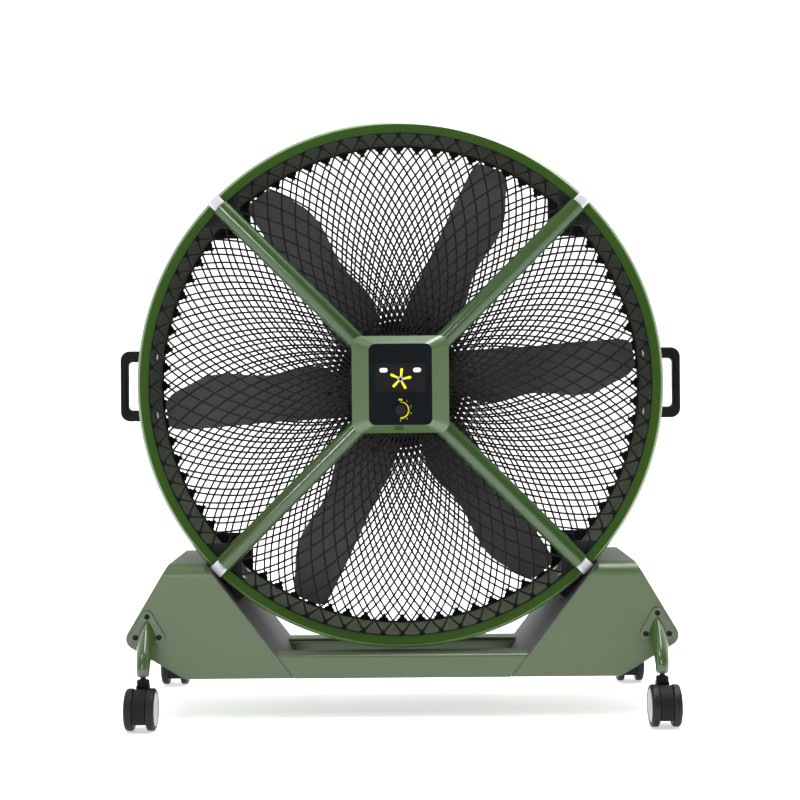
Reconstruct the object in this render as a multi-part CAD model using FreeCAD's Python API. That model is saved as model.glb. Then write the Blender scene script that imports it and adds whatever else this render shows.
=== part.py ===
import FreeCAD, Part
import math
import os

V = FreeCAD.Vector
os.makedirs("parts", exist_ok=True)

# Drum fan on casters. Millimetres. X to the right, Y to the back, Z up.
# The origin is on the ground under the middle of the drum.

# drum
AXIS_Z = 615.0        # height of the fan axis
RIM_Y = 122.0         # front rim plane is at -RIM_Y, rear rim plane at +RIM_Y
RIM_R = 476.65        # middle radius of the front rim tube
RIM_TUBE = 10.35      # outer radius of the tube
RIM_WALL = 1.6
BEAD_R = 480.5        # rear rim ring
BEAD_ROD = 6.5
SHELL_IN = 474.5
SHELL_OUT = 476.0
SHELL_Y0 = -114.5
SHELL_Y1 = 117.2

# spokes, clips and corner plates
SPOKE_R = 12.5
SPOKE_W = 16.6        # half width of the oval front spokes, half depth SPOKE_R
SPOKE_WALL = 1.8
SPOKE_START = 60.0
SPOKE_END = 467.6
REAR_SPOKE_END = 466.0
CLIP_LEN = 25.0
CLIP_R = 12.85
CLIP_TOP = 488.2
CLIP_IN = 468.2
PLATE_X = 296.0       # inner edges of a corner plate
PLATE_Z = 293.0
PLATE_T = 5.0

# guards
WIRES = 80
WIRE_W = 3.2
WIRE_ARC = 425.0      # radius of a wire's arc
WIRE_CENTRE = 392.0   # its centre's distance from the fan axis
WIRE_TURN = -0.06     # turn of each layer, in wire steps, to opposite sides
GUARD_OUT = 473.0
GUARD_OUT_IN = 466.5
FRONT_IN = (80.0, 89.0)     # inner ring of the front guard, hidden behind the control housing
REAR_IN = (112.0, 120.0)

# control housing
BOX = 176.0
BOX_R = 18.0
BOX_FRONT = -205.0
BOX_SHOULDER = -186.0
FASCIA_W = 114.0
FASCIA_H = 146.0
KNOB_Z = AXIS_Z - 46.2
KNOB_R = 10.0

# motor and rotor
AXLE_R = 12.5
FRONT_DISC_R = 86.0
REAR_DISC_R = 127.0
CAN_R = 95.0
CAN_Y = 46.0
BLADES = 6
BLADE_ANGLE = 6.0     # first blade, anticlockwise from +X seen from the front
BLADE_TIP = 453.0

# base
BASE_Y = 145.0
BASE_Z = 76.0
BASE_TOP = 286.0
CRADLE = 488.5        # distance of the boxes' inner edges from the fan axis
CRADLE_N = (0.79118, 0.611584)
PANEL_T = 2.0
SHEET = 2.0
BEND = 24.0

# legs and casters
LEG_X = 468.0
LEG_Y = 198.0
LEG_END = 92.0
WHEEL_R = 37.5
TRAIL = 25.0
LEG_BOLTS = ((0.0, 192.0), (-21.7, 154.0), (21.7, 154.0))


def cyl_y(r, y0, y1, x=0.0, z=AXIS_Z):
    return Part.makeCylinder(r, y1 - y0, V(x, y0, z), V(0, 1, 0))


def cyl_x(r, x0, x1, y, z):
    return Part.makeCylinder(r, x1 - x0, V(x0, y, z), V(1, 0, 0))


def cyl_z(r, z0, z1, x, y):
    return Part.makeCylinder(r, z1 - z0, V(x, y, z0), V(0, 0, 1))


def tube_y(r0, r1, y0, y1, x=0.0, z=AXIS_Z):
    return cyl_y(r1, y0, y1, x, z).cut(cyl_y(r0, y0 - 1, y1 + 1, x, z))


def box(x0, x1, y0, y1, z0, z1):
    return Part.makeBox(x1 - x0, y1 - y0, z1 - z0, V(x0, y0, z0))


def rrect(w, h, r, y, cx=0.0, cz=AXIS_Z):
    a, b, k = w / 2, h / 2, r * math.sqrt(0.5)
    e = []
    ring = ((1, 1), (-1, 1), (-1, -1), (1, -1))
    pts = []
    for i, (sx, sz) in enumerate(ring):
        c = V(cx + sx * (a - r), y, cz + sz * (b - r))
        p0 = V(c.x + (sx * r if i % 2 == 0 else 0), y, c.z + (0 if i % 2 == 0 else sz * r))
        p1 = V(c.x + (0 if i % 2 == 0 else sx * r), y, c.z + (sz * r if i % 2 == 0 else 0))
        pts.append((p0, V(c.x + sx * k, y, c.z + sz * k), p1))
    for i in range(4):
        p0, m, p1 = pts[i]
        e.append(Part.Arc(p0, m, p1).toShape())
        e.append(Part.makeLine(p1, pts[(i + 1) % 4][0]))
    return Part.Wire(e)


def plate(w, h, r, y0, y1, cx=0.0, cz=AXIS_Z):
    return Part.Face(rrect(w, h, r, y0, cx, cz)).extrude(V(0, y1 - y0, 0))


def frustum(a, b):
    return Part.makeLoft([a, b], True, True)


def mirror_x(s):
    return s.mirror(V(0, 0, 0), V(1, 0, 0))


def mirror_y(s):
    return s.mirror(V(0, 0, 0), V(0, 1, 0))


def turn(s, degrees):
    # anticlockwise seen from the front
    t = s.copy()
    t.rotate(V(0, 0, AXIS_Z), V(0, -1, 0), degrees)
    return t


def save(name, shapes):
    solids = []
    for s in shapes if isinstance(shapes, (list, tuple)) else [shapes]:
        solids += s.Solids
    for s in solids:
        if not s.isValid() or s.Volume <= 0:
            print("BAD", name, s.isValid(), s.Volume)
    out = solids[0] if len(solids) == 1 else Part.makeCompound(solids)
    out.exportStep("parts/" + name + ".step")
    print(name, len(solids), round(sum(s.Volume for s in solids) / 1000, 1), "cm3")


def axis_point(r, degrees, y):
    a = math.radians(degrees)
    return V(r * math.cos(a), y, AXIS_Z + r * math.sin(a))


def along(p, d, r, length):
    return Part.makeCylinder(r, length, p, d)


# cradle directions for the right-hand side
N = V(CRADLE_N[0], 0, -CRADLE_N[1])
D = V(-CRADLE_N[1], 0, -CRADLE_N[0])


def cradle(t, s, y=0.0):
    return V(0, y, AXIS_Z) + N * t + D * s


def slab(t0, t1, s0, s1, y0, y1):
    pts = [cradle(t0, s0, y0), cradle(t1, s0, y0), cradle(t1, s1, y0), cradle(t0, s1, y0)]
    return Part.Face(Part.makePolygon(pts + pts[:1])).extrude(V(0, y1 - y0, 0))


# ---------------------------------------------------------------- drum
def front_rim():
    c = V(RIM_R, -RIM_Y, 0)
    a = Part.Face(Part.Wire(Part.makeCircle(RIM_TUBE, c, V(0, 0, 1))))
    b = Part.Face(Part.Wire(Part.makeCircle(RIM_TUBE - RIM_WALL, c, V(0, 0, 1))))
    q = [V(SHELL_IN - 0.08, -RIM_Y, 0), V(SHELL_OUT + 0.08, -RIM_Y, 0),
         V(SHELL_OUT + 0.08, -RIM_Y + 14, 0), V(SHELL_IN - 0.08, -RIM_Y + 14, 0)]
    f = a.cut(b).cut(Part.Face(Part.makePolygon(q + q[:1]))).Faces[0]
    s = f.revolve(V(0, 0, 0), V(0, 1, 0), 360)
    s.translate(V(0, 0, AXIS_Z))
    return s.Solids[0] if s.Solids else Part.Solid(s)


def rim_clip():
    c = V(RIM_R, -RIM_Y, 0)
    a = Part.Face(Part.Wire(Part.makeCircle(CLIP_R, c, V(0, 0, 1))))
    b = Part.Face(Part.Wire(Part.makeCircle(RIM_TUBE + 0.03, c, V(0, 0, 1))))
    q = [V(SHELL_IN - 40, -RIM_Y + 8.5, 0), V(SHELL_OUT + 40, -RIM_Y + 8.5, 0),
         V(SHELL_OUT + 40, -RIM_Y + 20, 0), V(SHELL_IN - 40, -RIM_Y + 20, 0)]
    f = a.cut(b).cut(Part.Face(Part.makePolygon(q + q[:1]))).Faces[0]
    span = math.degrees(CLIP_LEN / RIM_R)
    s = f.revolve(V(0, 0, 0), V(0, 1, 0), span)
    s.translate(V(0, 0, AXIS_Z))
    s = s.Solids[0] if s.Solids else Part.Solid(s)
    s = s.common(cyl_y(CLIP_TOP, -160, -80)).cut(cyl_y(CLIP_IN, -160, -80))
    s = max(s.Solids, key=lambda q: q.Volume)
    return turn(s, span / 2)


def spoke(y, end):
    p = axis_point(SPOKE_START, 0, y)
    d = V(1, 0, 0)
    s = along(p, d, SPOKE_R, end - SPOKE_START)
    return s.cut(along(p - d, d, SPOKE_R - SPOKE_WALL, end - SPOKE_START + 2))


def oval(p, half_w, half_d, length):
    e = Part.Ellipse(p + V(0, 0, half_w), p + V(0, half_d, 0), p)
    return Part.Face(Part.Wire(e.toShape())).extrude(V(length, 0, 0))


def oval_spoke(y, end):
    p = axis_point(SPOKE_START, 0, y)
    s = oval(p, SPOKE_W, SPOKE_R, end - SPOKE_START)
    return s.cut(oval(p - V(1, 0, 0), SPOKE_W - SPOKE_WALL, SPOKE_R - SPOKE_WALL, end - SPOKE_START + 2))


PLATE_Y = RIM_Y - SPOKE_R - 0.05     # face of the corner plates against the spokes

shell = tube_y(SHELL_IN, SHELL_OUT, SHELL_Y0, SHELL_Y1)
rim_front = front_rim()
rim_rear = Part.makeTorus(BEAD_R, BEAD_ROD, V(0, RIM_Y, AXIS_Z), V(0, 1, 0))
clip = rim_clip()
saddle_cut = Part.makeTorus(RIM_R, RIM_TUBE + 0.08, V(0, -RIM_Y, AXIS_Z), V(0, 1, 0))
spoke_f = oval_spoke(-RIM_Y, SPOKE_END).cut(saddle_cut)
spoke_f = max(spoke_f.Solids, key=lambda q: q.Volume)
spoke_r = spoke(RIM_Y, REAR_SPOKE_END)
corner = box(PLATE_X, 480, -PLATE_Y, -PLATE_Y + PLATE_T, AXIS_Z + PLATE_Z, AXIS_Z + 480)
corner = corner.common(cyl_y(SHELL_IN - 0.05, -200, 200))
QUARTERS = (45, 135, 225, 315)

save("front_rim", rim_front)
save("rear_rim", rim_rear)
save("rim_clips", [turn(clip, a) for a in QUARTERS])
spokes_front = [turn(spoke_f, a) for a in QUARTERS]
spokes_rear = [turn(spoke_r, a) for a in QUARTERS]
corners = []
for s in (corner, mirror_y(corner)):
    for t in (s, mirror_x(s)):
        u = t.mirror(V(0, 0, AXIS_Z), V(0, 0, 1))
        corners += [t, u]
save("front_spokes", spokes_front)
save("rear_spokes", spokes_rear)
save("corner_plates", corners)


# ---------------------------------------------------------------- guards
def meet(c, rc, r, side):
    # where the circle of radius rc about c crosses the circle of radius r about the axis
    d = math.hypot(c[0], c[1])
    a = (r * r - rc * rc + d * d) / (2 * d)
    h = math.sqrt(max(r * r - a * a, 0.0))
    ux, uz = c[0] / d, c[1] / d
    return (a * ux - side * h * uz, a * uz + side * h * ux)


def arc_between(c, r, p, q, y):
    a = math.atan2(p[1] - c[1], p[0] - c[0])
    b = math.atan2(q[1] - c[1], q[0] - c[0])
    while b - a > math.pi:
        b -= 2 * math.pi
    while b - a < -math.pi:
        b += 2 * math.pi
    m = (a + b) / 2
    def pt(v):
        return V(v[0], y, AXIS_Z + v[1])
    return Part.Arc(pt(p), pt((c[0] + r * math.cos(m), c[1] + r * math.sin(m))), pt(q)).toShape()


def guard_layer(y, t, side, ring):
    step = 2 * math.pi / WIRES
    first = side * WIRE_TURN
    inner, ring_out = ring
    wires = [Part.Wire(Part.makeCircle(GUARD_OUT, V(0, y, AXIS_Z), V(0, 1, 0))),
             Part.Wire(Part.makeCircle(inner, V(0, y, AXIS_Z), V(0, 1, 0)))]
    for k in range(WIRES):
        c0 = (WIRE_CENTRE * math.cos((k + first) * step), WIRE_CENTRE * math.sin((k + first) * step))
        c1 = (WIRE_CENTRE * math.cos((k + first + 1) * step), WIRE_CENTRE * math.sin((k + first + 1) * step))
        ra = WIRE_ARC + side * WIRE_W / 2
        rb = WIRE_ARC - side * WIRE_W / 2
        a0 = meet(c0, ra, ring_out, side)
        a1 = meet(c0, ra, GUARD_OUT_IN, side)
        b0 = meet(c1, rb, ring_out, side)
        b1 = meet(c1, rb, GUARD_OUT_IN, side)
        wires.append(Part.Wire([
            arc_between(c0, ra, a0, a1, y),
            arc_between((0, 0), GUARD_OUT_IN, a1, b1, y),
            arc_between(c1, rb, b1, b0, y),
            arc_between((0, 0), ring_out, b0, a0, y)]))
    f = Part.makeFace(wires, "Part::FaceMakerBullseye")
    return f.extrude(V(0, t, 0))


G0 = -PLATE_Y + PLATE_T + 0.1
save("front_guard_wires_a", guard_layer(G0, WIRE_W, 1, FRONT_IN))
save("front_guard_wires_b", guard_layer(G0 + WIRE_W + 0.1, WIRE_W, -1, FRONT_IN))
save("rear_guard_wires_a", guard_layer(-G0 - WIRE_W, WIRE_W, 1, REAR_IN))
save("rear_guard_wires_b", guard_layer(-G0 - 2 * WIRE_W - 0.1, WIRE_W, -1, REAR_IN))


# ---------------------------------------------------------------- handles
HANDLE_OUT = 537.5
HANDLE_H = 135.0
HANDLE_GAP = 93.0
HANDLE_BAR = 13.5
HANDLE_W = 26.0


def handle_right():
    y0 = -HANDLE_W / 2
    out = plate(140, HANDLE_H, 18.0, y0, -y0, HANDLE_OUT - 70)
    hole = plate(140, HANDLE_GAP, 8.0, y0 - 1, -y0 + 1, HANDLE_OUT - HANDLE_BAR - 70)
    s = out.cut(hole).cut(cyl_y(SHELL_OUT + 0.02, -60, 60))
    s = max(s.common(box(440, 560, -60, 60, 500, 730)).Solids, key=lambda q: q.Volume)
    bar = [e for e in s.Edges if e.BoundBox.XMin > HANDLE_OUT - HANDLE_BAR - 9
           and e.BoundBox.YLength < 0.01]
    try:
        r = s.makeFillet(4.0, bar)
        if r.isValid() and r.Solids:
            s = r.Solids[0]
    except Exception as err:
        print("handle fillet", err)
    return s


def radial_bolt(deg, y, r_head, h_head, r_shank, r0, length):
    # head on the inside of the shell, shank outward
    u = V(math.cos(math.radians(deg)), 0, math.sin(math.radians(deg)))
    p = V(0, y, AXIS_Z) + u * r0
    return (along(p - u * h_head, u, r_head, h_head).fuse(along(p, u, r_shank, length)).removeSplitter(),
            along(p - u * 3, u, r_shank + 0.05, length + 3.5), p, u)


handle = handle_right()
bolts = []
arm = math.degrees(math.asin((HANDLE_H + HANDLE_GAP) / 4 / 480.0))
for deg in (arm, -arm):
    b, hole, p, u = radial_bolt(deg, 0, 6.0, 3.2, 3.0, SHELL_IN - 0.1, 28)
    handle = handle.cut(hole)
    shell = shell.cut(hole).cut(mirror_x(hole))
    bolts += [b, mirror_x(b)]
save("handle_right", handle)
save("handle_left", mirror_x(handle))

# ---------------------------------------------------------------- control housing
HOUSE_Y1 = -PLATE_Y - 0.05
outer = plate(BOX, BOX, BOX_R, BOX_SHOULDER, HOUSE_Y1)
outer = outer.fuse(frustum(rrect(BOX, BOX, BOX_R, BOX_SHOULDER),
                           rrect(FASCIA_W + 1.6, FASCIA_H + 1.6, 13, BOX_FRONT))).removeSplitter()
inner = plate(BOX - 6, BOX - 6, BOX_R - 3, BOX_SHOULDER + 1, HOUSE_Y1 + 5)
inner = inner.fuse(frustum(rrect(BOX - 6, BOX - 6, BOX_R - 3, BOX_SHOULDER + 1),
                           rrect(FASCIA_W + 1, FASCIA_H + 1, 12, BOX_FRONT + 3))).removeSplitter()
house = outer.cut(inner).cut(plate(FASCIA_W + 0.4, FASCIA_H + 0.4, 12.2, BOX_FRONT - 5, BOX_FRONT + 5))
for a in QUARTERS:
    house = house.cut(turn(oval(axis_point(SPOKE_START, 0, -RIM_Y), SPOKE_W + 0.1, SPOKE_R + 0.1, 120), a))
# shallow pocket in the lower bevel
pocket = plate(17.2, 8.0, 1.5, BOX_FRONT - 10, BOX_SHOULDER, -3.4, AXIS_Z - 78.4)
pocket_floor = outer.copy()
pocket_floor.translate(V(0, 2.2, 0))
house = house.cut(pocket.cut(pocket_floor))
save("control_housing", max(house.Solids, key=lambda q: q.Volume))

F0 = BOX_FRONT + 0.5
fascia = plate(FASCIA_W, FASCIA_H, 12, F0, F0 + 4).cut(cyl_y(3.4, F0 - 5, F0 + 9, 0, KNOB_Z))
save("control_fascia", fascia)
save("display_window", plate(91, 52, 4, F0 - 0.6, F0, 0, AXIS_Z + 12.2))
save("indicator_lenses", [plate(14, 7.8, 3.8, F0 - 1.3, F0 - 0.6, x, AXIS_Z + 25.7) for x in (-30.2, 30.2)])
knob = cyl_y(KNOB_R, F0 - 10, F0 - 0.3, 0, KNOB_Z)
edge = [e for e in knob.Edges if abs(e.BoundBox.YMax - (F0 - 10)) < 0.01 and e.BoundBox.YLength < 0.01]
knob = knob.makeFillet(1.2, edge)
for k in range(18):
    a = math.radians(20 * k)
    knob = knob.cut(cyl_y(0.9, F0 - 12, F0 - 2.0, (KNOB_R + 0.2) * math.cos(a), KNOB_Z + (KNOB_R + 0.2) * math.sin(a)))
knob = knob.cut(box(-0.7, 0.7, F0 - 12, F0 - 9.2, KNOB_Z + 3, KNOB_Z + 8.6))
knob = knob.cut(cyl_y(3.02, F0 - 7.5, F0 + 1, 0, KNOB_Z))
save("speed_knob", knob)
save("knob_shaft", cyl_y(3.0, F0 - 7.4, F0 + 12, 0, KNOB_Z))
save("speed_potentiometer", cyl_y(8.5, F0 + 4.05, F0 + 15, 0, KNOB_Z).cut(cyl_y(3.05, F0 + 3, F0 + 12.5, 0, KNOB_Z)))

BOARD_Y = -165.0
board = [plate(128, 112, 4, BOARD_Y, BOARD_Y + 1.6)]
board.append(plate(60, 26, 1, BOARD_Y - 14, BOARD_Y - 0.01, -22, AXIS_Z + 36))
board.append(plate(34, 30, 2, BOARD_Y - 17, BOARD_Y - 0.01, 38, AXIS_Z + 30))
for i in range(3):
    board.append(cyl_y(8, BOARD_Y - 18, BOARD_Y - 0.01, -40 + 20 * i, AXIS_Z - 10))
board.append(plate(44, 10, 1, BOARD_Y - 9, BOARD_Y - 0.01, 34, AXIS_Z - 46))
for x, z in ((50, 0), (-50, 0), (0, 46), (0, -46)):
    board.append(cyl_y(4, BOARD_Y + 1.65, HOUSE_Y1, x, AXIS_Z + z))
save("drive_board", board)

# ---------------------------------------------------------------- hub plates, axle, rear cover
DISC_Y = -PLATE_Y
disc_bore = cyl_y(AXLE_R, DISC_Y - 1, DISC_Y + PLATE_T + 1)
save("front_mount_plate", cyl_y(FRONT_DISC_R, DISC_Y, DISC_Y + PLATE_T).cut(disc_bore))
save("rear_mount_plate", mirror_y(cyl_y(REAR_DISC_R, DISC_Y, DISC_Y + PLATE_T).cut(disc_bore)))
AXLE_END = PLATE_Y + 14
axle = cyl_y(AXLE_R, -AXLE_END, AXLE_END).cut(cyl_y(6, -AXLE_END - 1, AXLE_END + 1))
save("motor_axle", axle)


def hexagon(r, y0, y1, x=0.0, z=AXIS_Z):
    pts = [V(x + r * math.cos(math.radians(60 * i)), y0, z + r * math.sin(math.radians(60 * i))) for i in range(7)]
    return Part.Face(Part.makePolygon(pts)).extrude(V(0, y1 - y0, 0))


nut = hexagon(20, -PLATE_Y - 10, -PLATE_Y).cut(cyl_y(AXLE_R, -PLATE_Y - 11, -PLATE_Y + 1))
bolts += [nut, mirror_y(nut)]

RC = 150.0
RC_Y0 = PLATE_Y + 0.05
RC_Y1 = 143.0
cover = plate(RC, RC, BOX_R, RC_Y0, RC_Y1 - 8)
cover = cover.fuse(frustum(rrect(RC, RC, BOX_R, RC_Y1 - 8), rrect(RC - 20, RC - 20, BOX_R - 6, RC_Y1))).removeSplitter()
hollow = plate(RC - 6, RC - 6, BOX_R - 3, RC_Y0 - 5, RC_Y1 - 8.5)
hollow = hollow.fuse(frustum(rrect(RC - 6, RC - 6, BOX_R - 3, RC_Y1 - 8.5), rrect(RC - 22, RC - 22, BOX_R - 7, RC_Y1 - 2.5))).removeSplitter()
cover = cover.cut(hollow)
for a in QUARTERS:
    cover = cover.cut(turn(along(axis_point(SPOKE_START, 0, RIM_Y), V(1, 0, 0), SPOKE_R + 0.1, 120), a))
GLAND_Z = AXIS_Z - 34.0
cover = cover.cut(cyl_y(8.1, RC_Y1 - 12, RC_Y1 + 5, 0, GLAND_Z))
save("rear_hub_cover", max(cover.Solids, key=lambda q: q.Volume))

gland = hexagon(12.0, RC_Y1 + 0.05, RC_Y1 + 6.05, 0, GLAND_Z)
gland = gland.fuse(cyl_y(8.0, RC_Y1 - 9, RC_Y1 + 0.05, 0, GLAND_Z))
gland = gland.fuse(Part.makeCone(10.5, 8.0, 14, V(0, RC_Y1 + 6.05, GLAND_Z), V(0, 1, 0))).removeSplitter()
gland = gland.cut(cyl_y(5.0, RC_Y1 - 15, RC_Y1 + 25, 0, GLAND_Z))
save("cable_gland", gland)

# ---------------------------------------------------------------- motor and rotor
BEAR_R = 26.0
bearing = tube_y(AXLE_R, BEAR_R, -50, -35)
save("motor_bearings", [bearing, mirror_y(bearing)])
save("motor_stator", tube_y(AXLE_R, 70, -28, 28))
can = tube_y(90, CAN_R, -CAN_Y, CAN_Y)
can = can.fuse(tube_y(BEAR_R + 0.05, 90.5, CAN_Y, CAN_Y + 6))
can = can.fuse(tube_y(90, CAN_R, CAN_Y - 0.5, CAN_Y + 6))
can = can.fuse(tube_y(BEAR_R + 0.05, 34, 34, CAN_Y + 0.5)).removeSplitter()
save("rotor_can", can)
lid = tube_y(BEAR_R + 0.05, CAN_R, -CAN_Y - 6.05, -CAN_Y - 0.05)
lid = lid.fuse(tube_y(BEAR_R + 0.05, 34, -CAN_Y - 1, -34)).removeSplitter()
save("rotor_cover", lid)
save("rotor_magnets", tube_y(72, 89.95, -30, 30))

# blade edges in the blade's own frame: radius, wavy edge, straight edge, pitch, thickness
STATIONS = (
    (106, -34.0, 46.0, 31, 7.0),
    (130, -41.0, 49.0, 31, 7.0),
    (158, -52.5, 50.0, 30.5, 6.6),
    (180, -54.0, 49.6, 29.5, 6.2),
    (201, -52.0, 48.8, 28.5, 5.8),
    (227, -47.2, 46.8, 27.5, 5.4),
    (253, -46.0, 45.6, 26.5, 5.2),
    (279, -48.8, 44.8, 25.5, 5.0),
    (305, -54.0, 44.6, 24.5, 4.8),
    (330, -58.0, 44.2, 23.5, 4.6),
    (355, -58.0, 43.6, 22.5, 4.4),
    (381, -53.0, 42.4, 21.5, 4.2),
    (405, -43.5, 41.4, 21, 4.0),
    (425, -36.5, 40.4, 20.5, 3.8),
    (440, -28.5, 38.0, 20, 3.6),
    (BLADE_TIP, -14.0, 28.0, 20, 3.2),
)
BLADE_Y = 0.0
ROOT_PITCH = 31.0


def blade_section(r, lo, hi, pitch, thick):
    p = math.radians(pitch)
    mid = (lo + hi) / 2
    half = (hi - lo) / 2
    camber = 0.0 if r < 160 else min(1.0, (r - 160) / 60.0) * 0.055 * 2 * half / math.cos(p)
    pts = []
    n = 28
    for i in range(n):
        f = 2 * math.pi * i / n
        x = math.cos(f)
        s = math.sin(f)
        t = mid + half * x
        w = math.copysign(abs(s) ** 0.7, s) * thick / 2
        bow = camber * (1 - x * x)
        y = BLADE_Y + t * math.tan(p)
        # chord runs back as it runs anticlockwise, so the outward normal on the rear side is (-sin, cos)
        pts.append(V(r, y + (w + bow) * math.cos(p), AXIS_Z + t - (w + bow) * math.sin(p)))
    c = Part.BSplineCurve()
    c.interpolate(Points=pts + pts[:1])
    return Part.Wire(c.toShape())


blade = Part.makeLoft([blade_section(*s) for s in STATIONS], True, False)
blade = blade.Solids[0]
if blade.Volume < 0:
    blade.reverse()
rp = math.radians(ROOT_PITCH)
root_n = V(0, math.cos(rp), -math.sin(rp))
root_c = V(0, math.sin(rp), math.cos(rp))
ARM_T = 6.0
arm_gap = 3.5 + 0.1


def arm_plate():
    o = V(97, BLADE_Y, AXIS_Z) + root_n * arm_gap
    pts = [o - root_c * 22, o + root_c * 22, o + root_c * 16 + V(50, 0, 0), o - root_c * 16 + V(50, 0, 0)]
    return Part.Face(Part.makePolygon(pts + pts[:1])).extrude(root_n * ARM_T)


bolt_at = ((116, -12), (116, 12), (136, 0))
arm_s = arm_plate()
# flat seats on the blade root for the arm and the bolt heads
o = V(90, BLADE_Y, AXIS_Z) + root_n * (arm_gap - 0.1)
seat = [o - root_c * 24, o + root_c * 24, o + root_c * 24 + V(58, 0, 0), o - root_c * 24 + V(58, 0, 0)]
blade = blade.cut(Part.Face(Part.makePolygon(seat + seat[:1])).extrude(root_n * 14))
blade_bolts = []
for r, c in bolt_at:
    q = V(r, BLADE_Y, AXIS_Z) + root_c * c
    hole = along(q - root_n * 20, root_n, 3.05, 40)
    blade = blade.cut(hole).cut(along(q - root_n * 16, root_n, 6.5, 16 - 3.9))
    arm_s = arm_s.cut(hole)
    b = along(q - root_n * 8.0, root_n, 5.5, 4.0).fuse(along(q - root_n * 4.2, root_n, 3.0, 18)).removeSplitter()
    blade_bolts.append(b)
    n0 = q + root_n * (arm_gap + ARM_T + 0.05)
    blade_bolts.append(along(n0, root_n, 5.5, 4.0).cut(along(n0 - root_n, root_n, 3.0, 6)))
blade = max(blade.Solids, key=lambda q: q.Volume)
angles = [BLADE_ANGLE + 60 * k for k in range(BLADES)]
save("fan_blades", [turn(blade, a) for a in angles])
save("blade_bolts", [turn(b, a) for a in angles for b in blade_bolts])
spider = tube_y(CAN_R, 103, -8, 20)
for a in angles:
    spider = spider.fuse(turn(arm_s, a))
spider = spider.removeSplitter()
save("blade_spider", spider)


# ---------------------------------------------------------------- base
def line_point(p, q, r, s):
    d1 = (q[0] - p[0], q[1] - p[1])
    d2 = (s[0] - r[0], s[1] - r[1])
    k = d1[0] * d2[1] - d1[1] * d2[0]
    t = ((r[0] - p[0]) * d2[1] - (r[1] - p[1]) * d2[0]) / k
    return (p[0] + t * d1[0], p[1] + t * d1[1])


def cradle_x(t, z):
    return (t - CRADLE_N[1] * (AXIS_Z - z)) / CRADLE_N[0]


def side_prism(inset, y, t, bend):
    # outline clockwise from the top inner corner, seen from the front, right-hand side
    pts = [(cradle_x(t, BASE_TOP), BASE_TOP), (431.0, BASE_TOP), (515.3, 143.6), (400.5, BASE_Z),
           (cradle_x(t, BASE_Z), BASE_Z)]
    edges = []
    n = len(pts)
    for i in range(n):
        a, b = pts[i], pts[(i + 1) % n]
        d = math.hypot(b[0] - a[0], b[1] - a[1])
        u = ((b[0] - a[0]) / d, (b[1] - a[1]) / d)
        k = inset if i < 4 else 0.0
        m = (u[1] * k, -u[0] * k)
        edges.append(((a[0] + m[0], a[1] + m[1]), (b[0] + m[0], b[1] + m[1])))
    q = [line_point(*edges[i - 1], *edges[i]) for i in range(n)]
    vs = [V(x, -y, z) for x, z in q]
    s = Part.Face(Part.makePolygon(vs + vs[:1])).extrude(V(0, 2 * y, 0))

    def sharp(x, z):
        return [e for e in s.Edges if e.BoundBox.YLength > 1 and abs(e.BoundBox.XMin - x) < 0.01 and abs(e.BoundBox.ZMin - z) < 0.01]
    s = s.makeFillet(20.0 - inset, sharp(*q[2]))
    s = s.makeFillet(9.0 - inset, sharp(*q[3]))
    top = [e for e in s.Edges if e.BoundBox.YLength < 0.01 and e.BoundBox.ZLength < 0.01 and abs(e.BoundBox.ZMin - q[0][1]) < 0.01]
    s = s.makeFillet(bend, top)
    return s


box_r = side_prism(0.0, BASE_Y, CRADLE, BEND)
small = []
for e in box_r.Edges:
    bb = e.BoundBox
    if bb.YLength < 0.01 and abs(abs(bb.YMin) - BASE_Y) < 0.01 and bb.ZMax < BASE_TOP - BEND + 0.5:
        m = e.valueAt((e.FirstParameter + e.LastParameter) / 2)
        away = (m - V(0, m.y, AXIS_Z)).dot(N)
        if away > CRADLE + 1:
            small.append(e)
try:
    r = box_r.makeFillet(2.5, small)
    if r.isValid() and r.Solids:
        box_r = r.Solids[0]
except Exception as err:
    print("base edge fillet", err)
hollow = side_prism(SHEET, BASE_Y - SHEET, CRADLE - 6, BEND - SHEET)
box_r = box_r.cut(hollow)
box_r = max(box_r.Solids, key=lambda q: q.Volume)
PANEL = CRADLE - PANEL_T - 0.05
s_top = (AXIS_Z - CRADLE_N[1] * CRADLE - BASE_TOP) / CRADLE_N[0] + 1.0
s_end = (AXIS_Z - CRADLE_N[1] * CRADLE - BASE_Z) / CRADLE_N[0] - 1.0
panel = slab(PANEL, CRADLE - 0.05, s_top, s_end, -BASE_Y, BASE_Y)


def crossbar(y0, y1, top):
    def trap(y, za, zb, t, grow=0.0):
        xa, xb = cradle_x(t, za), cradle_x(t, zb)
        pts = [V(-xa, y, za), V(xa, y, za), V(xb, y, zb), V(-xb, y, zb)]
        return Part.Face(Part.makePolygon(pts + pts[:1]))
    s = trap(y0, BASE_Z, top, PANEL).extrude(V(0, y1 - y0, 0))
    e = [k for k in s.Edges if k.BoundBox.XLength > 300 and k.BoundBox.ZMin > top - 0.1]
    s = s.makeFillet(7.0, e)
    h = trap(y0 + SHEET, BASE_Z - 3, top - SHEET, PANEL - 4).extrude(V(0, y1 - y0 - 2 * SHEET, 0))
    e = [k for k in h.Edges if k.BoundBox.XLength > 300 and k.BoundBox.ZMin > top - SHEET - 0.1]
    h = h.makeFillet(5.0, e)
    return s.cut(h)


bar_f = crossbar(-BASE_Y, -84.0, 120.0)
bar_r = crossbar(85.0, BASE_Y, 112.0)

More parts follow.
